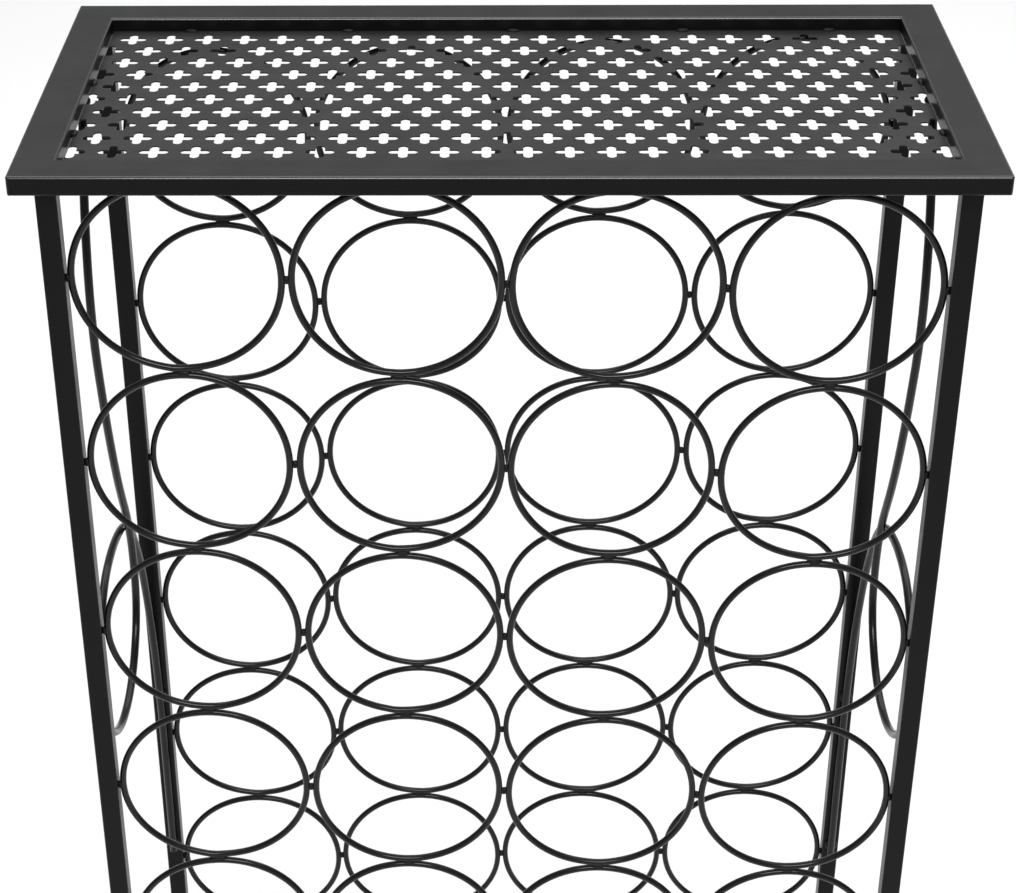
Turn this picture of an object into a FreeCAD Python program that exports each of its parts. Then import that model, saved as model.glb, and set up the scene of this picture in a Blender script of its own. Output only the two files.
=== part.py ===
import FreeCAD, Part
import math
import os

import Sketcher

# A free-standing wine rack of black powder-coated steel: a mitred tube frame with a perforated
# sheet as its small table top, four square tube legs, and a front and a rear lattice of wire
# rings that hold each bottle at its neck and at its body.  A looped round bar fills each side.
#
# Frame: millimetres, +Z up, +X to the right and +Y to the back.  The origin is the middle of the
# footprint, on the floor.

Vector = FreeCAD.Vector
Rotation = FreeCAD.Rotation

os.makedirs("parts", exist_ok=True)
doc = FreeCAD.newDocument("wine_rack")

# --------------------------------------------------------------------------- driving sizes

SIZES = [
    # the whole rack
    ("rack_width", 450.0),
    ("rack_depth", 220.0),
    ("rack_height", 820.0),
    # table top: mitred rails of flat rectangular tube, and the sheet inside them
    ("rail_width", 20.0),
    ("rail_height", 9.5),
    ("rail_wall", 1.2),
    ("rail_corner", 1.3),
    ("frame_corner", 2.5),
    ("sheet_thickness", 0.7),
    ("sheet_recess", 7.0),
    ("sheet_gap", 0.3),
    # crosses punched in the sheet, in rows staggered by half a pitch
    ("cross_size", 13.8),
    ("cross_arm", 4.4),
    ("cross_pitch", 19.3),
    ("cross_row_pitch", 16.0),
    ("cross_row_shift", 2.0),
    ("edge_web", 0.5),
    # legs of square tube, set in from the edges of the table top
    ("leg_size", 10.0),
    ("leg_wall", 1.2),
    ("leg_corner", 1.2),
    ("leg_inset_side", 9.3),
    ("leg_inset_front", 14.5),
    ("foot_height", 5.0),
    ("plug_depth", 9.0),
    ("plug_clearance", 0.1),
    ("stretcher_level", 60.0),
    # wire rings of the two lattices, each lattice racked so that its columns step down
    ("wire_size", 3.5),
    ("ring_gap", 2.0),
    ("row_gap", 0.2),
    ("row_pitch", 100.8),
    ("floor_clearance", 75.0),
    ("rail_gap", 0.2),
    ("column_step", 2.2),
    # looped side bars
    ("bar_size", 4.5),
    ("bar_offset", 2.3),
    ("head_back", 5.0),
    ("bow_depth", 29.0),
    ("bow_level", 120.0),
    ("loop_width", 110.0),
    ("loop_height", 95.0),
    ("loop_level", 312.0),
    ("landing_level", 430.0),
    ("tail_level", 560.0),
    # weld beads
    ("bead_radius", 1.6),
    ("bead_length", 6.0),
    ("tack_radius", 1.8),
    # small radii and rims
    ("bore_corner", 0.3),
    ("plug_corner", 0.5),
    ("foot_rim", 0.8),
]

COLUMNS = 4

sheet = doc.addObject("Spreadsheet::Sheet", "Sizes")
for index, (alias, size) in enumerate(SIZES, start=1):
    sheet.set(f"A{index}", alias)
    sheet.set(f"B{index}", str(size))
    sheet.setAlias(f"B{index}", alias)
doc.recompute()


def size_of(alias):
    """A driving size, read back from the sheet."""
    return float(getattr(sheet, alias))


rack_width = size_of("rack_width")
rack_depth = size_of("rack_depth")
rack_height = size_of("rack_height")
rail_width = size_of("rail_width")
rail_height = size_of("rail_height")
leg_size = size_of("leg_size")
foot_height = size_of("foot_height")
wire_size = size_of("wire_size")
row_gap = size_of("row_gap")
row_pitch = size_of("row_pitch")
bar_size = size_of("bar_size")

# --------------------------------------------------------------------------- worked-out places

rail_underside = rack_height - rail_height
leg_x = rack_width / 2 - size_of("leg_inset_side") - leg_size / 2
leg_y = rack_depth / 2 - size_of("leg_inset_front") - leg_size / 2
leg_inner_x = leg_x - leg_size / 2
column_pitch = 2 * leg_inner_x / COLUMNS
column_step = size_of("column_step")
ring_outer = min(column_pitch - size_of("ring_gap"), row_pitch - row_gap)
ring_radius = (ring_outer - wire_size) / 2
column_x = [(column - (COLUMNS - 1) / 2) * column_pitch for column in range(COLUMNS)]
lattice_y = {"front": -leg_y, "rear": leg_y}
sides = {"left": -1, "right": 1}
# Seen from its own outside, each lattice has its highest column on the left, against the rail.
high_column = {"front": 0, "rear": COLUMNS - 1}
down_steps = {end: [abs(column - high) * column_step for column in range(COLUMNS)]
              for end, high in high_column.items()}
first_row_level = rail_underside - size_of("rail_gap") - ring_outer / 2
# As many rows as the height has room for above the stretchers.
lowest_centre = size_of("floor_clearance") + ring_outer / 2 + max(down_steps["front"])
ROWS = int((first_row_level - lowest_centre) / row_pitch) + 1


def ring_centre(end, row, column):
    """The middle of one ring, its row and column counted from 0 at the top left of the front."""
    level = first_row_level - row * row_pitch - down_steps[end][column]
    return Vector(column_x[column], lattice_y[end], level)


named_parts = []


def keep(part, name):
    """Label a finished sub-part and put it on the list of files to write."""
    part.Label = name
    named_parts.append(part)
    return part


def shape_part(name, shape):
    """A sub-part whose shape is worked out here from the sheet's sizes."""
    part = doc.addObject("Part::Feature", name)
    part.Shape = shape
    part.Placement = FreeCAD.Placement()
    return keep(part, name)


def origin_plane(body, role):
    """One of a body's own origin planes."""
    return next(plane for plane in body.Origin.OriginFeatures if plane.Role == role)


def rounded_square(sketch, size, corner):
    """Draw a square with rounded corners, centred on the sketch's origin."""
    half = size / 2
    straight = half - corner
    quarter = math.pi / 2
    for turn in range(4):
        spin = Rotation(Vector(0, 0, 1), 90 * turn)
        start = spin.multVec(Vector(half, -straight, 0))
        end = spin.multVec(Vector(half, straight, 0))
        centre = spin.multVec(Vector(straight, straight, 0))
        sketch.addGeometry(Part.LineSegment(start, end))
        circle = Part.Circle(centre, Vector(0, 0, 1), corner)
        sketch.addGeometry(Part.ArcOfCircle(circle, quarter * turn, quarter * (turn + 1)))
    for edge in range(8):
        following = (edge + 1) % 8
        sketch.addConstraint(Sketcher.Constraint("Coincident", first_edge(sketch) + edge, 2,
                                                 first_edge(sketch) + following, 1))


def first_edge(sketch):
    """The index of the first edge of the loop that was drawn last in a sketch."""
    return 8 * ((sketch.GeometryCount - 1) // 8)


# --------------------------------------------------------------------------- legs and stretchers

def tube_body(name, length_expression, base, turn, centred=False):
    """A square tube: a rounded square with a rounded square hole, padded along its length."""
    body = doc.addObject("PartDesign::Body", name)
    section = body.newObject("Sketcher::SketchObject", name + "_section")
    section.AttachmentSupport = (origin_plane(body, "XY_Plane"), [""])
    section.MapMode = "FlatFace"
    outer_corner = size_of("leg_corner")
    wall = size_of("leg_wall")
    rounded_square(section, leg_size, outer_corner)
    rounded_square(section, leg_size - 2 * wall, max(outer_corner - wall, size_of("bore_corner")))
    tube = body.newObject("PartDesign::Pad", name + "_tube")
    tube.Profile = section
    tube.setExpression("Length", length_expression)
    tube.Midplane = centred
    body.Placement = FreeCAD.Placement(base, turn)
    return keep(body, name)


leg_length = "Sizes.rack_height - Sizes.rail_height - Sizes.foot_height"
for end, y in lattice_y.items():
    for side, sign in sides.items():
        tube_body(f"leg_{end}_{side}", leg_length, Vector(sign * leg_x, y, foot_height), Rotation())

stretcher_length = "Sizes.rack_depth - 2 * Sizes.leg_inset_front - 2 * Sizes.leg_size"
along_y = Rotation(Vector(1, 0, 0), -90)
for side, sign in sides.items():
    tube_body(f"bottom_stretcher_{side}", stretcher_length,
              Vector(sign * leg_x, 0, size_of("stretcher_level")), along_y, centred=True)

# --------------------------------------------------------------------------- plastic feet


def foot_cap(name, x, y):
    """A push-in cap: a flat foot under the tube and a square plug up inside it."""
    cap = doc.addObject("PartDesign::Body", name)
    foot_section = cap.newObject("Sketcher::SketchObject", name + "_foot_section")
    foot_section.AttachmentSupport = (origin_plane(cap, "XY_Plane"), [""])
    foot_section.MapMode = "FlatFace"
    rounded_square(foot_section, leg_size, size_of("leg_corner"))
    foot = cap.newObject("PartDesign::Pad", name + "_foot")
    foot.Profile = foot_section
    foot.setExpression("Length", "Sizes.foot_height")
    plug_section = cap.newObject("Sketcher::SketchObject", name + "_plug_section")
    plug_section.AttachmentSupport = (origin_plane(cap, "XY_Plane"), [""])
    plug_section.MapMode = "FlatFace"
    plug_size = leg_size - 2 * size_of("leg_wall") - 2 * size_of("plug_clearance")
    rounded_square(plug_section, plug_size, size_of("plug_corner"))
    plug = cap.newObject("PartDesign::Pad", name + "_plug")
    plug.Profile = plug_section
    plug.setExpression("Length", "Sizes.foot_height + Sizes.plug_depth")
    doc.recompute()
    rim = cap.newObject("PartDesign::Chamfer", name + "_rim")
    rim.Base = (plug, [f"Edge{number}" for number, edge in enumerate(plug.Shape.Edges, start=1)
                       if edge.BoundBox.ZMax < 1e-6])
    rim.setExpression("Size", "Sizes.foot_rim")
    cap.Placement = FreeCAD.Placement(Vector(x, y, 0), Rotation())
    return keep(cap, name)


for end, y in lattice_y.items():
    for side, sign in sides.items():
        foot_cap(f"foot_cap_{end}_{side}", sign * leg_x, y)

# --------------------------------------------------------------------------- table top frame


def rounded_box(width, depth, height, corner, base):
    """A box with all four long edges along X rounded, its lowest corner at base."""
    box = Part.makeBox(width, depth, height, base)
    edges = [edge for edge in box.Edges
             if abs(edge.tangentAt(edge.FirstParameter).x) > 0.99]
    return box.makeFillet(corner, edges)


def rail_shape(length):
    """A mitred rail of rectangular tube along X, its outer face at Y = 0 and its top at Z = 0."""
    wall = size_of("rail_wall")
    corner = size_of("rail_corner")
    outer = rounded_box(length, rail_width, rail_height, corner,
                        Vector(-length / 2, 0, -rail_height))
    inner = Part.makeBox(length, rail_width - 2 * wall, rail_height - 2 * wall,
                         Vector(-length / 2, wall, wall - rail_height))
    half = length / 2
    mitre = Part.makePolygon([
        Vector(-half, 0, -rail_height), Vector(half, 0, -rail_height),
        Vector(half - rail_width, rail_width, -rail_height),
        Vector(rail_width - half, rail_width, -rail_height), Vector(-half, 0, -rail_height)])
    wedge = Part.Face(mitre).extrude(Vector(0, 0, rail_height))
    return outer.cut(inner).common(wedge)


rail_runs = {
    "front": (rack_width, 0, Vector(0, -rack_depth / 2, rack_height)),
    "right": (rack_depth, 90, Vector(rack_width / 2, 0, rack_height)),
    "back": (rack_width, 180, Vector(0, rack_depth / 2, rack_height)),
    "left": (rack_depth, 270, Vector(-rack_width / 2, 0, rack_height)),
}
# The upright corners of the frame are ground round after the mitres are welded.
frame_envelope = Part.makeBox(rack_width, rack_depth, rail_height,
                              Vector(-rack_width / 2, -rack_depth / 2, rail_underside))
frame_envelope = frame_envelope.makeFillet(
    size_of("frame_corner"),
    [edge for edge in frame_envelope.Edges if abs(edge.tangentAt(edge.FirstParameter).z) > 0.99])
rails = {}
for rail, (length, turn, place) in rail_runs.items():
    rails[rail] = rail_shape(length)
    rails[rail].Placement = FreeCAD.Placement(place, Rotation(Vector(0, 0, 1), turn))
    rails[rail] = rails[rail].common(frame_envelope)
    shape_part(f"top_rail_{rail}", rails[rail])

# --------------------------------------------------------------------------- perforated sheet

sheet_width = rack_width - 2 * rail_width - 2 * size_of("sheet_gap")
sheet_depth = rack_depth - 2 * rail_width - 2 * size_of("sheet_gap")
sheet_thickness = size_of("sheet_thickness")
sheet_top = rack_height - size_of("sheet_recess")
cross_pitch = size_of("cross_pitch")
cross_row_pitch = size_of("cross_row_pitch")


def cross_outline(x, y, z):
    """The outline of an equal-armed cross with round arm ends, centred at a point."""
    half_arm = size_of("cross_arm") / 2
    reach = size_of("cross_size") / 2 - half_arm
    edges = []
    for turn in range(4):
        spin = FreeCAD.Placement(Vector(x, y, z), Rotation(Vector(0, 0, 1), 90 * turn))
        root = spin.multVec(Vector(half_arm, -half_arm, 0))
        near = spin.multVec(Vector(reach, -half_arm, 0))
        tip = spin.multVec(Vector(reach + half_arm, 0, 0))
        far = spin.multVec(Vector(reach, half_arm, 0))
        next_root = spin.multVec(Vector(half_arm, half_arm, 0))
        edges.append(Part.LineSegment(root, near).toShape())
        edges.append(Part.Arc(near, tip, far).toShape())
        edges.append(Part.LineSegment(far, next_root).toShape())
    return Part.Wire(edges)


def perforated_sheet():
    """The sheet, cut from a larger perforated one, so crosses at its sides are cut through."""
    bottom = sheet_top - sheet_thickness
    half_width = sheet_width / 2
    half_depth = sheet_depth / 2
    reach = size_of("cross_size") / 2
    edge_web = size_of("edge_web")
    blank = Part.makePlane(sheet_width, sheet_depth, Vector(-half_width, -half_depth, bottom))
    row_count = int(half_depth / cross_row_pitch) + 1
    whole = []
    cut_through = []
    for row in range(-row_count, row_count + 1):
        y = row * cross_row_pitch - size_of("cross_row_shift")
        if abs(y) + reach > half_depth - edge_web:
            continue
        stagger = cross_pitch / 2 if row % 2 == 0 else 0.0
        count = int(half_width / cross_pitch) + 2
        for column in range(-count, count + 1):
            x = column * cross_pitch + stagger
            if abs(x) + reach < half_width - edge_web:
                whole.append(cross_outline(x, y, bottom))
            elif abs(x) < half_width:
                cut_through.append(Part.Face(cross_outline(x, y, bottom)))
    face = blank.cut(cut_through).Faces[0]
    face = Part.Face([face.OuterWire] + whole)
    face.validate()
    return face.extrude(Vector(0, 0, sheet_thickness))


top_sheet = perforated_sheet()
shape_part("perforated_sheet", top_sheet)

# --------------------------------------------------------------------------- wire rings


def ring(name, centre):
    """One closed ring of round wire, standing across the rack."""
    wire = doc.addObject("Part::Torus", name)
    wire.setExpression("Radius2", "Sizes.wire_size / 2")
    wire.Radius1 = ring_radius
    wire.Placement = FreeCAD.Placement(centre, Rotation(Vector(1, 0, 0), 90))
    return wire


for end in lattice_y:
    for row in range(ROWS):
        row_name = f"{end}_rings_row_{row + 1}"
        rings = [ring(f"{row_name}_ring_{column + 1}", ring_centre(end, row, column))
                 for column in range(COLUMNS)]
        group = doc.addObject("Part::Compound", row_name)
        group.Links = rings
        keep(group, row_name)

# --------------------------------------------------------------------------- looped side bars

leg_front_face = -leg_y + leg_size / 2
leg_rear_face = leg_y - leg_size / 2
loop_z = rack_height - size_of("loop_level")
landing_z = rack_height - size_of("landing_level")
tail_z = rack_height - size_of("tail_level")


def bent_bar_path(corners):
    """Straight runs through the corners, joined by arcs as large as half of each run allows."""
    edges = []
    start = corners[0]
    for before, corner, after in zip(corners, corners[1:], corners[2:]):
        back = before - corner
        ahead = after - corner
        reach = 0.495 * min(back.Length, ahead.Length)
        half_turn = (math.pi - back.getAngle(ahead)) / 2
        radius = reach / math.tan(half_turn)
        back.normalize()
        ahead.normalize()
        inward = back + ahead
        inward.normalize()
        arc_start = corner + back * reach
        arc_end = corner + ahead * reach
        middle = corner + inward * (radius / math.cos(half_turn) - radius)
        edges.append(Part.LineSegment(start, arc_start).toShape())
        edges.append(Part.Arc(arc_start, middle, arc_end).toShape())
        start = arc_end
    edges.append(Part.LineSegment(start, corners[-1]).toShape())
    return Part.Wire(edges)


def side_bar(sign):
    """One bar: down from the side rail, once round a loop, then over to the rear leg."""
    half_width = size_of("loop_width") / 2
    half_height = size_of("loop_height") / 2
    reach_y = half_width * math.tan(math.pi / 8)
    reach_z = half_height * math.tan(math.pi / 8)
    bar_front = leg_front_face + bar_size / 2
    bar_rear = leg_rear_face - bar_size / 2
    loop_y = bar_front + half_width
    loop_rear = loop_y + half_width
    loop_top = loop_z + half_height
    head_y = size_of("head_back")
    bow_y = -size_of("bow_depth")
    bow_z = rack_height - size_of("bow_level")
    to_loop_y = loop_rear - bow_y
    to_loop_z = loop_z + reach_z - bow_z
    over = bar_rear - loop_y - reach_y
    drop = loop_top - landing_z
    # Y, Z, and how far the bar has moved from its inner to its outer track across the loop.
    route = [
        (head_y, rail_underside, 0.0),
        (head_y + 0.70 * (bow_y - head_y), 0.56 * rail_underside + 0.44 * bow_z, 0.0),
        (bow_y, bow_z, 0.0),
        (bow_y + 0.29 * to_loop_y, bow_z + 0.40 * to_loop_z, 0.0),
        (bow_y + 0.56 * to_loop_y, bow_z + 0.65 * to_loop_z, 0.0),
        (bow_y + 0.88 * to_loop_y, bow_z + 0.85 * to_loop_z, 0.0),
        (loop_rear, loop_z + reach_z, 0.05),
        (loop_rear, loop_z - reach_z, 0.15),
        (loop_y + reach_y, loop_z - half_height, 0.25),
        (loop_y - reach_y, loop_z - half_height, 0.40),
        (bar_front, loop_z - reach_z, 0.50),
        (bar_front, loop_z + reach_z, 0.60),
        (loop_y - reach_y, loop_top, 0.80),
        (loop_y + reach_y, loop_top, 1.0),
        (loop_y + reach_y + 0.54 * over, loop_top - 0.09 * drop, 1.0),
        (loop_y + reach_y + 0.84 * over, loop_top - 0.365 * drop, 0.9),
        (loop_y + reach_y + 0.97 * over, loop_top - 0.70 * drop, 0.7),
        (bar_rear, landing_z, 0.5),
        (bar_rear, tail_z, 0.5),
    ]
    offset = size_of("bar_offset")
    corners = [Vector(sign * (leg_x - offset * (1 - 2 * track)), y, z) for y, z, track in route]
    path = bent_bar_path(corners)
    section = Part.Wire([Part.Circle(corners[0], Vector(0, 0, 1), bar_size / 2).toShape()])
    heading = corners[1] - corners[0]
    section.rotate(corners[0], Vector(0, 0, 1).cross(heading), math.degrees(
        Vector(0, 0, 1).getAngle(heading)))
    bar = path.makePipeShell([section], True, False)
    # The upper end is trimmed flush with the underside of the side rail.
    above = Part.makeBox(rack_width, rack_depth, rail_height,
                         Vector(-rack_width / 2, -rack_depth / 2, rail_underside))
    expected = math.pi * bar_size ** 2 / 4 * path.Length
    if abs(bar.Volume / expected - 1) > 0.01:
        raise ValueError(f"side bar volume {bar.Volume:.0f}, expected {expected:.0f}")
    return bar.cut(above)


side_bars = {}
for side, sign in sides.items():
    side_bars[side] = side_bar(sign)
    shape_part(f"side_scroll_{side}", side_bars[side])

# --------------------------------------------------------------------------- weld beads

bead_radius = size_of("bead_radius")
bead_length = size_of("bead_length")
tack_radius = size_of("tack_radius")


def torus_at(x, y, z):
    """The solid of one ring, to shape the welds that touch it."""
    return Part.makeTorus(ring_radius, wire_size / 2, Vector(x, y, z), Vector(0, 1, 0))


def bead_between(low, high, direction):
    """A round bead that reaches from one point to another along a direction."""
    return Part.makeCylinder(bead_radius, (high - low).Length, low, direction)


def weld_group(name, master, places):
    """Copies of one weld at a list of places, as one node of separate solids."""
    solids = []
    for place in places:
        copy = master.copy()
        copy.translate(place)
        solids.append(copy)
    shape_part(name, Part.makeCompound(solids))


def largest_solid(shape):
    """The weld itself, without slivers left by trimming."""
    return max(shape.Solids, key=lambda solid: solid.Volume)


half_pitch = column_pitch / 2
reach_x = half_pitch - ring_radius


def column_weld(step):
    """The bead between two rings side by side, the right one lower than the left by a step."""
    bead = bead_between(Vector(-reach_x, 0, 0), Vector(reach_x, 0, 0), Vector(1, 0, 0))
    return largest_solid(bead.cut([torus_at(-half_pitch, 0, step / 2),
                                   torus_at(half_pitch, 0, -step / 2)]))


def row_weld():
    """The bead in the gap between a ring and the one below it."""
    bead = Part.makeCylinder(bead_radius, bead_length, Vector(-bead_length / 2, 0, 0),
                             Vector(1, 0, 0))
    return largest_solid(bead.cut([torus_at(0, 0, row_pitch / 2), torus_at(0, 0, -row_pitch / 2)]))


def rail_weld():
    """The bead under a rail, over the top of a ring."""
    bead = Part.makeCylinder(bead_radius, bead_length, Vector(-bead_length / 2, 0, 0),
                             Vector(1, 0, 0))
    inside_rail = Part.makeBox(2 * bead_length, 4 * bead_radius, 2 * bead_radius,
                               Vector(-bead_length, -2 * bead_radius, 0))
    ring_below = torus_at(0, 0, -size_of("rail_gap") - ring_outer / 2)
    return largest_solid(bead.cut([inside_rail, ring_below]))


def leg_weld(sign):
    """The bead between a leg's inner face and the ring beside it."""
    start = Vector(0, 0, 0) if sign < 0 else Vector(-reach_x, 0, 0)
    end = start + Vector(reach_x, 0, 0)
    bead = bead_between(start, end, Vector(1, 0, 0))
    return largest_solid(bead.cut(torus_at(-sign * half_pitch, 0, 0)))


row_bead = row_weld()
rail_bead = rail_weld()
for end, high in high_column.items():
    side_of_high = 1 if high == 0 else -1
    centres = [[ring_centre(end, row, column) for column in range(COLUMNS)]
               for row in range(ROWS)]
    weld_group(f"{end}_ring_side_welds", column_weld(side_of_high * column_step),
               [(left + right) / 2 for row in centres for left, right in zip(row, row[1:])])
    weld_group(f"{end}_ring_row_welds", row_bead,
               [(upper + lower) / 2 for above, below in zip(centres, centres[1:])
                for upper, lower in zip(above, below)])
    weld_group(f"{end}_ring_rail_weld", rail_bead,
               [Vector(column_x[high], lattice_y[end], rail_underside)])
    leg_beads = []
    for side, sign in sides.items():
        bead = leg_weld(sign)
        outer_column = 0 if sign < 0 else COLUMNS - 1
        leg_beads += [bead.translated(Vector(sign * leg_inner_x, lattice_y[end],
                                             row[outer_column].z)) for row in centres]
    shape_part(f"{end}_ring_leg_welds", Part.makeCompound(leg_beads))

# Tacks that hold the sheet: short beads along its edge, against the inner walls of the rails.
inner_half_width = rack_width / 2 - rail_width
inner_half_depth = rack_depth / 2 - rail_width
tack_z = sheet_top
tack_places = []
for share in (-0.80, -0.40, 0.02, 0.45, 0.82):
    tack_places.append((Vector(share * inner_half_width, inner_half_depth, tack_z), Vector(1, 0, 0)))
    tack_places.append((Vector(share * inner_half_width, -inner_half_depth, tack_z),
                        Vector(1, 0, 0)))
for share in (-0.5, 0.2):
    tack_places.append((Vector(inner_half_width, share * inner_half_depth, tack_z),
                        Vector(0, 1, 0)))
    tack_places.append((Vector(-inner_half_width, share * inner_half_depth, tack_z),
                        Vector(0, 1, 0)))
tack_solids = []
for place, along in tack_places:
    bead = Part.makeCylinder(tack_radius, bead_length, place - along * (bead_length / 2), along)
    bead = bead.cut([top_sheet] + list(rails.values()))
    inside = [solid for solid in bead.Solids
              if abs(solid.CenterOfMass.x) < inner_half_width
              and abs(solid.CenterOfMass.y) < inner_half_depth]
    tack_solids.append(max(inside, key=lambda solid: solid.Volume))
shape_part("sheet_tack_welds", Part.makeCompound(tack_solids))

# Welds of the side bars: where each hangs from its rail, where its loop meets the front leg, where
# it crosses itself and where it lies against the rear leg.
for side, sign in sides.items():
    head_x = sign * (leg_x - size_of("bar_offset"))
    head_y = size_of("head_back")
    leg_solids = [
        Part.makeBox(leg_size, leg_size, rack_height, Vector(sign * leg_x - leg_size / 2, y, 0))
        for y in (-leg_y - leg_size / 2, leg_y - leg_size / 2)]
    head = Part.makeSphere(0.8 * bar_size, Vector(head_x, head_y, rail_underside))
    head = largest_solid(head.cut([side_bars[side]] + list(rails.values())).common(
        Part.makeBox(4 * bar_size, 4 * bar_size, bar_size,
                     Vector(head_x - 2 * bar_size, head_y - 2 * bar_size,
                            rail_underside - bar_size))))
    beads = [head]
    for y, z in ((leg_front_face, loop_z), (leg_rear_face, tail_z + bead_length),
                 (leg_rear_face, landing_z - bead_length)):
        for edge in (-1, 1):
            bead = Part.makeCylinder(bead_radius, bead_length,
                                     Vector(sign * leg_x + edge * 0.4 * bar_size, y,
                                            z - bead_length / 2), Vector(0, 0, 1))
            bead = bead.cut([side_bars[side]] + leg_solids)
            beads.append(largest_solid(bead))
    shape_part(f"side_scroll_welds_{side}", Part.makeCompound(beads))

# --------------------------------------------------------------------------- check and write

doc.recompute()
for item in doc.Objects:
    if "Invalid" in item.State or "Error" in item.State:
        raise ValueError(f"{item.Label} failed: {item.State}")
for part in named_parts:
    if part.Shape.isNull() or not part.Shape.isValid() or not part.Shape.Solids:
        raise ValueError(f"{part.Label} has no valid solid")
for part in named_parts:
    part.Shape.exportStep(f"parts/{part.Label}.step")
print(len(named_parts), "sub-parts written")
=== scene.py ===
# %% [markdown]
# # A wire wine rack in black powder coat
# The rack is bent, mitred and welded steel under one coat of satin black powder. The design is
# already fixed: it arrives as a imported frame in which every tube, ring, weld and foot is a node
# of its own. This lesson gives those pieces their looks. Tubes, the punched sheet and the
# looped side bars have the right shape already and only need a coat. Rings and welds are
# where hand work shows, so they are modelled again: rings that are a little out of round with
# a butt joint, and beads that have run and set.

# %% Tools and the frame
import math
import random

import bmesh
import bpy
from mathutils import Matrix, Vector, noise


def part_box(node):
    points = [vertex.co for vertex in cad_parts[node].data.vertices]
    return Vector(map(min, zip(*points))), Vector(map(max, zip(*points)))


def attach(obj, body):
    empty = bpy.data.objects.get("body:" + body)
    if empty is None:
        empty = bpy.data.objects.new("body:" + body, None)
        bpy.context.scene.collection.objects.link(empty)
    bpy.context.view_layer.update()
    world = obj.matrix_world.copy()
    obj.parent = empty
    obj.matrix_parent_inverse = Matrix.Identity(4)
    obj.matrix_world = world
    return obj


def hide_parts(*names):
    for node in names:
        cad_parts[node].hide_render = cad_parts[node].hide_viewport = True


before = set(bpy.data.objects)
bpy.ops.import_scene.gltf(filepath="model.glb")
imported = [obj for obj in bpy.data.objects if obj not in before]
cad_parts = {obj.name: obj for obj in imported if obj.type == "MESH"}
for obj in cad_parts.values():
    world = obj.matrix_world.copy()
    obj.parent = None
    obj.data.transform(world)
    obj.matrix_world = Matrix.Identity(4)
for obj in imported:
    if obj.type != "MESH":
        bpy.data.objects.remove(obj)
bpy.context.view_layer.update()
MM = 0.001
print("nodes in the frame:", len(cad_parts))

# %% [markdown]
# ## What the frame says
# Every place below is read from the frame, so the looks stay on the design if it changes. The
# four rings of a row stand between the inner faces of two legs, which gives the pitch of the
# columns. What is left of the row's width is one ring, and what is left of its height after one
# ring is the three small steps by which the columns go down.

# %% Sizes read from the frame
COLUMNS = 4
ROWS = sum(name.startswith("front_rings_row_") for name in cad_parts)
ENDS = ("front", "rear")
leg_inner_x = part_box("leg_front_right")[0].x
column_pitch = 2 * leg_inner_x / COLUMNS
row_low, row_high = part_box("front_rings_row_1")
wire = row_high.y - row_low.y
ring_outer = row_high.x - row_low.x - (COLUMNS - 1) * column_pitch
ring_radius = (ring_outer - wire) / 2
column_step = (row_high.z - row_low.z - ring_outer) / (COLUMNS - 1)
HIGH_COLUMN = {"front": 0, "rear": COLUMNS - 1}
print(f"wire {wire / MM:.2f} mm, ring {ring_outer / MM:.1f} mm, pitch {column_pitch / MM:.2f} mm, "
      f"step {column_step / MM:.2f} mm, {ROWS} rows")

# %% [markdown]
# ## The coat's own texture
# Powder melts as it cures and sets with a faint orange peel, about a millimetre and a half from
# crest to crest, with a much finer grain on top. One node group makes both, so tubes, wire,
# sheet and welds all wear the same coat with their own strength. It puts out a height for a
# Bump node and a value that goes up and down by a little for the roughness and the tone.
# It could be written out in each material, but every coat shares it, so it is a group. The
# shader itself stays in each material.

# %% Helpers for nodes


def node(tree, kind, **settings):
    """Add a node and set its properties; a name that is an input's name sets that input."""
    new = tree.nodes.new(kind)
    for name, value in settings.items():
        if name in new.inputs:
            new.inputs[name].default_value = value
        else:
            setattr(new, name, value)
    return new


def wired(tree, source, target):
    """Link one socket to another and give the target's node back."""
    tree.links.new(source, target)
    return target.node


def group(name, inputs, outputs):
    """A node group with named inputs (name, kind, value) and outputs (name, kind)."""
    tree = bpy.data.node_groups.new(name, "ShaderNodeTree")
    for label, kind, value in inputs:
        socket = tree.interface.new_socket(label, in_out="INPUT", socket_type=kind)
        if value is not None:
            socket.default_value = value
    for label, kind in outputs:
        tree.interface.new_socket(label, in_out="OUTPUT", socket_type=kind)
    return tree, tree.nodes.new("NodeGroupInput"), tree.nodes.new("NodeGroupOutput")


FLOAT = "NodeSocketFloat"
VECTOR = "NodeSocketVector"


def maths(tree, operation, first, second):
    """A math node; each side is a socket or a plain number."""
    new = node(tree, "ShaderNodeMath", operation=operation)
    for side, value in enumerate((first, second)):
        if isinstance(value, (int, float)):
            new.inputs[side].default_value = value
        else:
            tree.links.new(value, new.inputs[side])
    return new.outputs[0]


def ramp(tree, value, start, end, low=0.0, **settings):
    """Go from low to 1 as a value goes from start to end, and stay there past either."""
    new = node(tree, "ShaderNodeMapRange", **settings)
    new.inputs["From Min"].default_value = start
    new.inputs["From Max"].default_value = end
    new.inputs["To Min"].default_value = low
    tree.links.new(value, new.inputs["Value"])
    return new.outputs["Result"]


# %% The coat's texture group
PEEL_PER_METRE = 650.0
GRAIN_PER_METRE = 3200.0
WANDER_PER_METRE = 28.0
GRAIN_SHARE = 0.25


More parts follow.
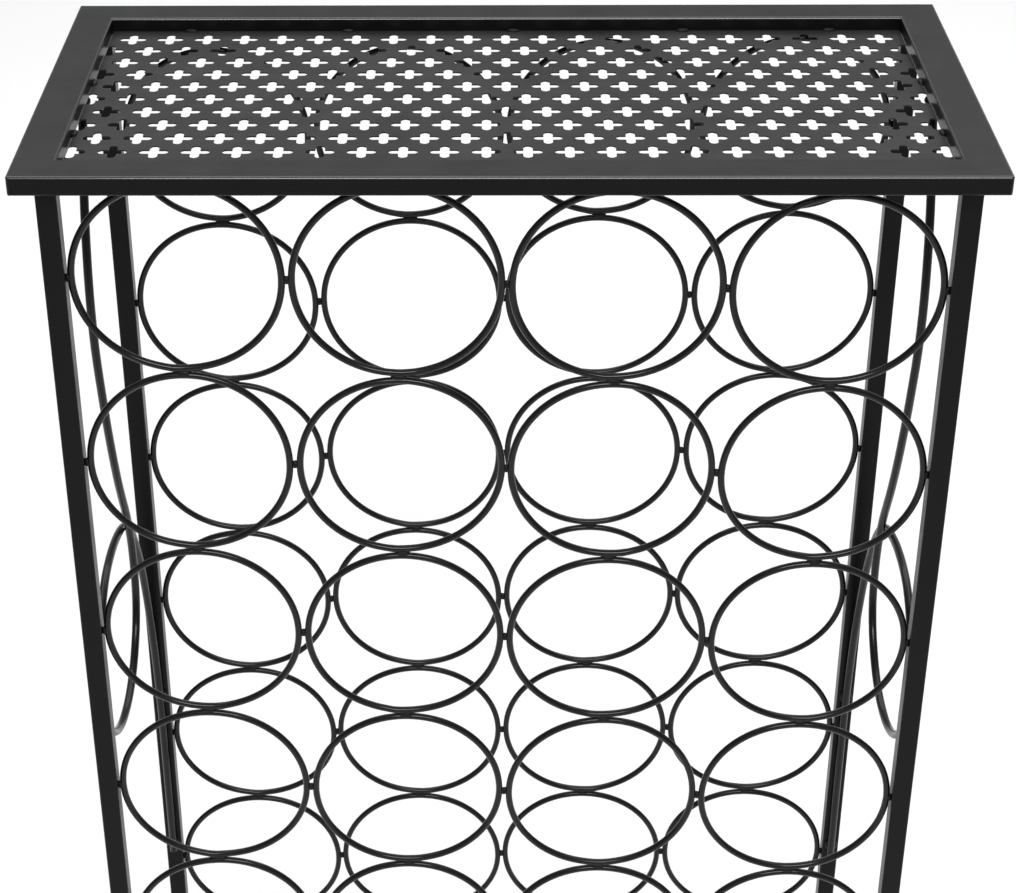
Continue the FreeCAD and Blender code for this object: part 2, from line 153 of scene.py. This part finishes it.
def coat_texture_group():
    """Orange peel and fine grain as a height, and a slow wander from 0 to 1."""
    tree, given, out = group(
        "coat texture",
        [("Place", VECTOR, None), ("Peel", FLOAT, 1.0), ("Grain", FLOAT, 1.0)],
        [("Height", FLOAT), ("Wander", FLOAT)])
    peel = node(tree, "ShaderNodeTexNoise", Scale=PEEL_PER_METRE, Detail=2.0, Roughness=0.5)
    grain = node(tree, "ShaderNodeTexNoise", Scale=GRAIN_PER_METRE, Detail=3.0, Roughness=0.6)
    wander = node(tree, "ShaderNodeTexNoise", Scale=WANDER_PER_METRE, Detail=4.0, Roughness=0.6)
    for texture in (peel, grain, wander):
        tree.links.new(given.outputs["Place"], texture.inputs["Vector"])
    peel_height = maths(tree, "MULTIPLY", peel.outputs["Fac"], given.outputs["Peel"])
    grain_height = maths(tree, "MULTIPLY", grain.outputs["Fac"], given.outputs["Grain"])
    height = maths(tree, "ADD", peel_height, maths(tree, "MULTIPLY", grain_height, GRAIN_SHARE))
    tree.links.new(height, out.inputs["Height"])
    tree.links.new(wander.outputs["Fac"], out.inputs["Wander"])
    return tree


COAT_TEXTURE = coat_texture_group()
print("coat texture nodes:", len(COAT_TEXTURE.nodes))

# %% [markdown]
# ## Dust on faces that look up
# Faces that look up carry a little dust, which greys and dulls them. The mask compares the
# surface's normal with straight up, and slow noise breaks it into patches. It could be painted
# on each piece, but a rule on the normal serves rails, rings and feet alike.

# %% Dust group
DUST_STARTS, DUST_FULL = 0.55, 0.98
PATCHES_PER_METRE = 45.0
PATCH_STARTS, PATCH_FULL = 0.3, 0.7
THINNEST_DUST = 0.55


def looking_up(tree):
    """How far a face looks up: 1 straight up, 0 on an upright wall, below 0 underneath."""
    geometry = node(tree, "ShaderNodeNewGeometry")
    split = wired(tree, geometry.outputs["Normal"], node(tree, "ShaderNodeSeparateXYZ").inputs[0])
    return split.outputs["Z"]


def dust_group():
    """Up to 1 where dust lies on faces that look up, 0 on walls."""
    tree, given, out = group("settled dust", [("Place", VECTOR, None)], [("Mask", FLOAT)])
    facing_up = ramp(tree, looking_up(tree), DUST_STARTS, DUST_FULL,
                     interpolation_type="SMOOTHSTEP")
    patches = node(tree, "ShaderNodeTexNoise", Scale=PATCHES_PER_METRE, Detail=6.0, Roughness=0.7)
    tree.links.new(given.outputs["Place"], patches.inputs["Vector"])
    spread = ramp(tree, patches.outputs["Fac"], PATCH_STARTS, PATCH_FULL, low=THINNEST_DUST)
    tree.links.new(maths(tree, "MULTIPLY", facing_up, spread), out.inputs["Mask"])
    return tree


DUST = dust_group()
print("dust group nodes:", len(DUST.nodes))

# %% [markdown]
# ## Rounded corners, and thin edges with a painted highlight
# The rails' long corners are rounded and catch a thin line of light. Their mask is 1 where the
# normal is neither straight up nor level, so it leaves the flat tops and the upright walls
# alone. Sharp edges carry a painted highlight: their colour is a shade lighter, for the line of
# light they catch. They are also shinier, where the powder draws back as it melts.
# That mask compares the true normal with the one a Bevel node rounds off: they only differ
# close to an edge. Both could be painted by hand, but a rule on the normal follows the design
# if a size changes.

# %% Corner and edge groups
CORNER_LEAVES_WALL, CORNER_FULL_LOW = 0.05, 0.25
CORNER_LEAVES_TOP, CORNER_FULL_HIGH = 0.995, 0.94
EDGE_WIDTH = 0.6 * MM
EDGE_STARTS, EDGE_FULL = 0.995, 0.90


def round_corner_group():
    """1 on a tube's rounded corners along its top, 0 on its flat top and its upright walls."""
    tree, _, out = group("round corner", [], [("Mask", FLOAT)])
    upward = looking_up(tree)
    from_wall = ramp(tree, upward, CORNER_LEAVES_WALL, CORNER_FULL_LOW)
    from_top = ramp(tree, upward, CORNER_LEAVES_TOP, CORNER_FULL_HIGH)
    tree.links.new(maths(tree, "MULTIPLY", from_wall, from_top), out.inputs["Mask"])
    return tree


def thin_edge_group():
    """1 along edges within about the given width, 0 on flat faces."""
    tree, given, out = group("thin edge", [("Width", FLOAT, EDGE_WIDTH)], [("Mask", FLOAT)])
    rounded = node(tree, "ShaderNodeBevel", samples=4)
    tree.links.new(given.outputs["Width"], rounded.inputs["Radius"])
    true_normal = node(tree, "ShaderNodeNewGeometry")
    compare = node(tree, "ShaderNodeVectorMath", operation="DOT_PRODUCT")
    tree.links.new(rounded.outputs["Normal"], compare.inputs[0])
    tree.links.new(true_normal.outputs["Normal"], compare.inputs[1])
    tree.links.new(ramp(tree, compare.outputs["Value"], EDGE_STARTS, EDGE_FULL), out.inputs["Mask"])
    return tree


THIN_EDGE = thin_edge_group()
ROUND_CORNER = round_corner_group()
print("node groups:", [tree.name for tree in bpy.data.node_groups])

# %% [markdown]
# ## One recipe for every surface
# Each material starts from the same recipe and differs in its numbers: how smooth the surface
# is, how deep the peel is and how grey dust makes it. The feet are plastic and take the recipe
# too, with a rougher surface. The colour is almost black, so most of what is seen is gloss, and
# the roughness matters more than the colour. The numbers that are the same all over a surface,
# such as the refractive index, are set on the shader itself. Wire and round bar get a second,
# smoother layer all over, which draws a line of light along them; the rails get one only on
# their rounded corners. Seven materials written out one by one would drift apart, so a function
# makes them all.

# %% Tone and gloss of the coat
# A mix node's colour sockets by number, because its other kinds of data have the same names.
FIRST_COLOUR, SECOND_COLOUR, MIXED_COLOUR = 6, 7, 2
ROUGHNESS_SWING = 0.16
DUST_ROUGHNESS = 0.06
EDGE_POLISH = 0.12
# The light grey of the painted highlight along thin edges.
EDGE_HIGHLIGHT_GREY = (0.10, 0.10, 0.105, 1.0)
STREAK_STRETCH = (6.0, 900.0, 900.0)


def mixed(tree, factor, low, high):
    """A colour between two plain colours, by a factor."""
    mix = node(tree, "ShaderNodeMix", data_type="RGBA")
    tree.links.new(factor, mix.inputs["Factor"])
    mix.inputs[FIRST_COLOUR].default_value = (*low, 1.0)
    mix.inputs[SECOND_COLOUR].default_value = (*high, 1.0)
    return mix.outputs[MIXED_COLOUR]


def streaked(tree, place, tone, streaks):
    """The tone with fine lines along X, as the metal under a thin coat has them."""
    stretch = node(tree, "ShaderNodeMapping", vector_type="POINT")
    stretch.inputs["Scale"].default_value = STREAK_STRETCH
    tree.links.new(place, stretch.inputs["Vector"])
    lines = node(tree, "ShaderNodeTexNoise", Scale=1.0, Detail=3.0, Roughness=0.6)
    tree.links.new(stretch.outputs["Vector"], lines.inputs["Vector"])
    line_tone = maths(tree, "MULTIPLY", lines.outputs["Fac"], streaks)
    return maths(tree, "ADD", tone, maths(tree, "SUBTRACT", line_tone, streaks / 2))


def painted_edge_highlight(tree, colour, rough, edges):
    """A painted highlight along thin edges: the colour made lighter there, and the roughness lower.
    """
    thin = node(tree, "ShaderNodeGroup", node_tree=THIN_EDGE)
    edge_highlight = maths(tree, "MULTIPLY", thin.outputs["Mask"], edges)
    lighter = node(tree, "ShaderNodeMix", data_type="RGBA")
    tree.links.new(edge_highlight, lighter.inputs["Factor"])
    tree.links.new(colour, lighter.inputs[FIRST_COLOUR])
    lighter.inputs[SECOND_COLOUR].default_value = EDGE_HIGHLIGHT_GREY
    polish = maths(tree, "MULTIPLY", edge_highlight, EDGE_POLISH)
    return lighter.outputs[MIXED_COLOUR], maths(tree, "SUBTRACT", rough, polish)


# %% The coat recipe
PEEL_DEPTH = 0.03 * MM
BUMP_STRENGTH = 0.6
SHINE_ROUGHNESS = 0.14
CORNER_ROUGHNESS = 0.20
CORNER_IOR = 1.6


def coat_material(name, black, dusty, roughness, peel, grain, streaks=0.0, edges=0.0, corners=0.0,
                  shine=0.0, wander=0.5, ior=1.24):
    """Satin powder coat: black walls, slightly grey tops, peel and grain in the gloss."""
    material = bpy.data.materials.new(name)
    material.use_nodes = True
    tree = material.node_tree
    shader = tree.nodes["Principled BSDF"]
    shader.inputs["IOR"].default_value = ior
    place = node(tree, "ShaderNodeTexCoord").outputs["Object"]
    texture = node(tree, "ShaderNodeGroup", node_tree=COAT_TEXTURE, Peel=peel, Grain=grain)
    tree.links.new(place, texture.inputs["Place"])
    dust = node(tree, "ShaderNodeGroup", node_tree=DUST)
    tree.links.new(place, dust.inputs["Place"])
    colour = mixed(tree, dust.outputs["Mask"], black, dusty)
    tone = maths(tree, "MULTIPLY", texture.outputs["Wander"], wander)
    tone = maths(tree, "ADD", tone, 1 - wander / 2)
    rough = maths(tree, "MULTIPLY", texture.outputs["Wander"], ROUGHNESS_SWING)
    rough = maths(tree, "ADD", rough, roughness - ROUGHNESS_SWING / 2)
    rough = maths(tree, "ADD", rough, maths(tree, "MULTIPLY", dust.outputs["Mask"], DUST_ROUGHNESS))
    if streaks:
        tone = streaked(tree, place, tone, streaks)
    shade = node(tree, "ShaderNodeVectorMath", operation="SCALE")
    tree.links.new(colour, shade.inputs[0])
    tree.links.new(tone, shade.inputs["Scale"])
    colour = shade.outputs["Vector"]
    # Thin edges get a painted highlight: a lighter colour, and a lower roughness.
    if edges:
        colour, rough = painted_edge_highlight(tree, colour, rough, edges)
    shader.inputs["Coat Weight"].default_value = shine
    shader.inputs["Coat Roughness"].default_value = SHINE_ROUGHNESS if shine else CORNER_ROUGHNESS
    if corners:
        rounded = node(tree, "ShaderNodeGroup", node_tree=ROUND_CORNER)
        shader.inputs["Coat IOR"].default_value = CORNER_IOR
        tree.links.new(maths(tree, "MULTIPLY", rounded.outputs["Mask"], corners),
                       shader.inputs["Coat Weight"])
    tree.links.new(colour, shader.inputs["Base Color"])
    tree.links.new(rough, shader.inputs["Roughness"])
    bump = node(tree, "ShaderNodeBump", Strength=BUMP_STRENGTH, Distance=PEEL_DEPTH)
    tree.links.new(texture.outputs["Height"], bump.inputs["Height"])
    tree.links.new(bump.outputs["Normal"], shader.inputs["Normal"])
    return material


# %% The finishes
# The edges number sets how strongly thin edges take the painted highlight.
BLACK = (0.0035, 0.0035, 0.0038)
rail_coat = coat_material("rail_coat", BLACK, (0.021, 0.021, 0.022), 0.34, 1.0, 0.8,
                          streaks=0.8, edges=0.10, corners=1.0, wander=0.9)
leg_coat = coat_material("leg_coat", BLACK, (0.028, 0.028, 0.029), 0.33, 1.0, 0.8, edges=0.35)
wire_coat = coat_material("wire_coat", BLACK, (0.010, 0.010, 0.0105), 0.30, 0.8, 0.6, shine=0.35)
bar_coat = coat_material("bar_coat", BLACK, (0.010, 0.010, 0.0105), 0.30, 1.0, 0.6, shine=0.35)
sheet_coat = coat_material("sheet_coat", (0.010, 0.010, 0.0105), (0.031, 0.031, 0.032), 0.40,
                           0.8, 1.2, streaks=0.9, edges=0.25, wander=1.3)
weld_coat = coat_material("weld_coat", (0.0075, 0.0075, 0.0080), (0.020, 0.020, 0.021), 0.36,
                          2.2, 1.4)
foot_plastic = coat_material("foot_plastic", (0.010, 0.010, 0.010), (0.020, 0.020, 0.020), 0.55,
                             0.5, 2.0)
print("materials:", [material.name for material in bpy.data.materials])

# %% [markdown]
# ## Coats on the pieces that keep their shape
# The mitred rails, legs, stretchers, the punched sheet, the side bars and the feet are exact as
# they are, with their corners rounded and their crosses cut right through. Only the
# material is changed, by name.

# %% Coats on the kept nodes
COATS = {"top_rail": rail_coat, "leg": leg_coat, "bottom_stretcher": leg_coat,
         "perforated_sheet": sheet_coat, "side_scroll": bar_coat, "foot_cap": foot_plastic}
coated = 0
for name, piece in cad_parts.items():
    start = next((start for start in COATS if name.startswith(start)), None)
    if start is None or "welds" in name:
        continue
    piece.data.materials.clear()
    piece.data.materials.append(COATS[start])
    coated += 1
print("nodes coated:", coated)

# %% [markdown]
# ## Rings of wire
# A real ring is rolled from straight wire and welded end to end, so it is a little oval and has
# a slight corner where its ends meet. A curve with a round bevel would give a true circle. Here
# spin sweeps the wire's section once round, because the mesh can then be bent vertex by vertex.
# A ring is drawn a little wider than it is high where it was pulled over to its neighbours, a
# wave goes round it twice, a weaker one three times, and beside the joint it runs flatter than
# the circle. The wire itself swells by about a tenth of a millimetre all round at the joint.

# %% Ring shape
SECTION_SIDES = 14
RING_STEPS = 132
JOINT_SPREAD = math.radians(14)
JOINT_SWELL = 0.12 * MM
JOINT_HALF_LENGTH = 1.2 * MM
SAME_PLACE = 0.001 * MM


def ring_manner(chance):
    """How one ring departs from a true circle: amounts in metres and where each one peaks."""
    return {"wide": chance.uniform(0.30, 0.60) * MM,
            "oval": chance.uniform(0.0, 0.30) * MM, "oval_turn": chance.uniform(0, math.pi),
            "lobes": chance.uniform(0.0, 0.16) * MM, "lobe_turn": chance.uniform(0, math.pi),
            "flat": chance.uniform(0.1, 0.5) * MM,
            "joint": math.radians(-90 + chance.uniform(-9, 9))}


def turn_between(angle, other):
    """The turn from one angle to another, at most half a circle either way."""
    return (angle - other + math.pi) % (2 * math.pi) - math.pi


def departure(manner, angle):
    """How far the ring's middle line lies outside the true circle at an angle."""
    wide = manner["wide"] * math.cos(angle) ** 2
    oval = manner["oval"] * math.cos(2 * (angle - manner["oval_turn"]))
    lobes = manner["lobes"] * math.cos(3 * (angle - manner["lobe_turn"]))
    away = abs(turn_between(angle, manner["joint"])) / JOINT_SPREAD
    return wide + oval + lobes - manner["flat"] * away * math.exp(1 - away)


def add_ring(bm, centre, manner):
    """Sweep the wire's section round a ring and bend it where this ring isn't round."""
    earlier = len(bm.verts)
    section = bmesh.ops.create_circle(bm, cap_ends=False, segments=SECTION_SIDES,
                                      radius=wire / 2,
                                      matrix=Matrix.Translation((ring_radius, 0, 0)))
    profile = section["verts"]
    edges = list({edge for vert in profile for edge in vert.link_edges})
    bmesh.ops.spin(bm, geom=profile + edges, cent=(0, 0, 0), axis=(0, 1, 0), dvec=(0, 0, 0),
                   angle=2 * math.pi, steps=RING_STEPS, use_merge=True, use_duplicate=False)
    for vert in list(bm.verts)[earlier:]:
        angle = math.atan2(vert.co.z, vert.co.x)
        outward = Vector((math.cos(angle), 0, math.sin(angle)))
        middle = outward * ring_radius
        from_joint = abs(turn_between(angle, manner["joint"])) * ring_radius
        swell = 1 + 2 * JOINT_SWELL / wire * math.exp(-(from_joint / JOINT_HALF_LENGTH) ** 2)
        vert.co = middle + (vert.co - middle) * swell + outward * departure(manner, angle)
        vert.co += centre


def finished(name, bm, material, nodes):
    """Close a mesh's seams, turn its faces outwards and make it a piece of the rack."""
    bmesh.ops.remove_doubles(bm, verts=bm.verts, dist=SAME_PLACE)
    bmesh.ops.recalc_face_normals(bm, faces=bm.faces)
    for face in bm.faces:
        face.smooth = True
    mesh = bpy.data.meshes.new(name)
    bm.to_mesh(mesh)
    bm.free()
    mesh.materials.append(material)
    piece = bpy.data.objects.new(name, mesh)
    bpy.context.scene.collection.objects.link(piece)
    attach(piece, "root")
    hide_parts(*nodes)
    return piece


# %% Both lattices
chance = random.Random(11)
for end in ENDS:
    for row in range(1, ROWS + 1):
        low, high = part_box(f"{end}_rings_row_{row}")
        bm = bmesh.new()
        for column in range(COLUMNS):
            steps_down = abs(column - HIGH_COLUMN[end])
            centre = Vector((low.x + ring_outer / 2 + column * column_pitch, (low.y + high.y) / 2,
                             high.z - ring_outer / 2 - steps_down * column_step))
            add_ring(bm, centre, ring_manner(chance))
        wire_row = finished(f"{end}_wire_row_{row}", bm, wire_coat, [f"{end}_rings_row_{row}"])
print("rings in a row:", COLUMNS, "faces in a row:", len(wire_row.data.polygons))

# %% [markdown]
# ## Weld beads
# A weld here is a short burst of molten wire: a blob that wets both pieces and sets with a
# ripple. The frame has a plain bead at each place. Its mesh could be roughened as it is, but a
# fresh ball has even faces, so each bead is found as a separate island of its node and a ball
# of about its size takes its place. The ball is squared a little, so it fills the gap like a
# bridge, and noise makes no two alike.

# %% Find and replace the beads
BEAD_DETAIL = 3
SQUARENESS = 0.8
LUMP, LUMP_SCALE = 0.10, 1.4
RIPPLE, RIPPLE_SCALE = 0.03, 4.5
SEED_STEP = 7.3
PLACE_DECIMALS = 5


def bead_boxes(name):
    """The lowest and highest corner of each bead of a weld node, in order of their places."""
    bm = bmesh.new()
    bm.from_mesh(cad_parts[name].data)
    bmesh.ops.remove_doubles(bm, verts=bm.verts, dist=2 * SAME_PLACE)
    left = set(bm.verts)
    boxes = []
    while left:
        island = {left.pop()}
        edge_of_island = list(island)
        while edge_of_island:
            vert = edge_of_island.pop()
            for edge in vert.link_edges:
                other = edge.other_vert(vert)
                if other in left:
                    left.discard(other)
                    island.add(other)
                    edge_of_island.append(other)
        places = [vert.co for vert in island]
        boxes.append((Vector(min(place[i] for place in places) for i in range(3)),
                      Vector(max(place[i] for place in places) for i in range(3))))
    bm.free()
    return sorted(boxes, key=lambda box: tuple(round(value, PLACE_DECIMALS) for value in box[0]))


def add_bead(bm, box, growth, seed):
    """A blob that fills a bead's box, squared a little and roughened by noise."""
    low, high = box
    centre = (low + high) / 2
    half = Vector((high[i] - low[i]) / 2 + growth[i] for i in range(3))
    for vert in bmesh.ops.create_icosphere(bm, subdivisions=BEAD_DETAIL, radius=1.0)["verts"]:
        ball = vert.co.copy()
        squared = Vector(math.copysign(abs(value) ** SQUARENESS, value) for value in ball)
        lump = 1 + LUMP * noise.noise(ball * LUMP_SCALE + Vector((seed, 0, 0)))
        ripple = RIPPLE * noise.noise(ball * RIPPLE_SCALE + Vector((0, seed, 0)))
        vert.co = centre + Vector(squared[i] * half[i] for i in range(3)) * (lump + ripple)


# How much larger or smaller than its plain bead each kind is on each side, in millimetres along
# X, Y and Z.
BEADS = {
    "ring_side_welds": (-0.5, 0.0, 0.4),
    "ring_row_welds": (0.9, 0.5, 0.6),
    "ring_leg_welds": (0.5, 0.1, 0.5),
    "ring_rail_weld": (0.4, 0.3, 0.6),
}
WELDS = {f"{end}_{kind}": growth for end in ENDS for kind, growth in BEADS.items()}
WELDS["sheet_tack_welds"] = (0.4, 0.3, -0.4)
WELDS["side_scroll_welds_left"] = WELDS["side_scroll_welds_right"] = (0.3, 0.3, 0.3)
for name, growth in WELDS.items():
    bm = bmesh.new()
    boxes = bead_boxes(name)
    for count, box in enumerate(boxes):
        add_bead(bm, box, [value * MM for value in growth], SEED_STEP * count + len(name))
    finished(name.replace("weld", "bead"), bm, weld_coat, [name])
    print(name, len(boxes), "beads")

# %% [markdown]
# ## Floor, light and camera
# The rack stands on a plain pale floor. A black satin coat shows mostly what it reflects, so the
# light is three soft panels and a dim even surround: a wide panel behind and above, which greys
# the top's flat surfaces and whitens the floor, a weak one at the back right, which reaches the
# walls that face it, and a small strong one in front and above, which draws the thin line of
# light along corners and wire. A sky picture would light it too, but panels can be placed one
# by one. The camera stands a metre in front, looking down at about thirty degrees.

# %% Floor


def floor_material():
    """Pale matt floor with a barely uneven tone."""
    material = bpy.data.materials.new("pale_floor")
    material.use_nodes = True
    tree = material.node_tree
    shader = tree.nodes["Principled BSDF"]
    shader.inputs["Roughness"].default_value = 0.9
    shader.inputs["IOR"].default_value = 1.2
    place = node(tree, "ShaderNodeTexCoord").outputs["Object"]
    uneven = node(tree, "ShaderNodeTexNoise", Scale=1.2, Detail=2.0)
    tree.links.new(place, uneven.inputs["Vector"])
    tone = mixed(tree, uneven.outputs["Fac"], (0.93, 0.93, 0.93), (0.96, 0.96, 0.96))
    tree.links.new(tone, shader.inputs["Base Color"])
    return material


FLOOR_HALF = 6.0
FLOOR_DROP = 0.2 * MM
bm = bmesh.new()
bmesh.ops.create_grid(bm, x_segments=4, y_segments=4, size=FLOOR_HALF)
floor_mesh = bpy.data.meshes.new("floor")
bm.to_mesh(floor_mesh)
bm.free()
floor_mesh.materials.append(floor_material())
floor = bpy.data.objects.new("floor", floor_mesh)
floor.location.z = -FLOOR_DROP
bpy.context.scene.collection.objects.link(floor)
print("floor", 2 * FLOOR_HALF, "m square")

# %% Light


def soft_panel(name, place, aim, width, height, power):
    """A rectangular soft light that looks at a point."""
    data = bpy.data.lights.new(name, "AREA")
    data.shape = "RECTANGLE"
    data.size = width
    data.size_y = height
    data.energy = power
    panel = bpy.data.objects.new(name, data)
    panel.location = place
    panel.rotation_euler = (Vector(aim) - Vector(place)).to_track_quat("-Z", "Y").to_euler()
    bpy.context.scene.collection.objects.link(panel)
    return panel


SURROUND_STRENGTH = 0.34
world = bpy.data.worlds.new("studio")
bpy.context.scene.world = world
world.use_nodes = True
world.node_tree.nodes["Background"].inputs["Color"].default_value = (1.0, 1.0, 1.0, 1.0)
world.node_tree.nodes["Background"].inputs["Strength"].default_value = SURROUND_STRENGTH
soft_panel("overhead_panel", (0.1, 1.65, 2.8), (0.1, 1.65, 0.0), width=3.6, height=3.2, power=76)
soft_panel("right_panel", (1.5, 1.9, 1.6), (0.0, 0.0, 0.75), width=1.2, height=1.0, power=2.6)
soft_panel("front_panel", (0.1, -1.9, 2.3), (0.0, 0.0, 0.6), width=1.4, height=0.8, power=42)
print("lights:", [light.name for light in bpy.data.lights])

# %% Camera
CAMERA_PLACE = Vector((-0.0083, -1.0403, 1.2404))
LOOK_DOWN = math.radians(30.50)
LOOK_ASIDE = math.radians(1.20)
TILT = math.radians(-0.53)
camera_data = bpy.data.cameras.new("camera")
camera_data.sensor_width = 36.0
camera_data.lens = 80.86
camera_data.shift_x = 0.0593
camera_data.shift_y = -0.0217
camera = bpy.data.objects.new("camera", camera_data)
turn = (Matrix.Rotation(LOOK_ASIDE, 4, "Z") @ Matrix.Rotation(math.pi / 2 - LOOK_DOWN, 4, "X")
        @ Matrix.Rotation(TILT, 4, "Z"))
camera.matrix_world = Matrix.Translation(CAMERA_PLACE) @ turn
bpy.context.scene.collection.objects.link(camera)
bpy.context.scene.camera = camera
bpy.context.scene.view_settings.view_transform = "Standard"
print("camera", round(-CAMERA_PLACE.y, 2), "m in front and", round(CAMERA_PLACE.z, 2), "m up")

# %% Bring the scene up to date
bpy.context.view_layer.update()
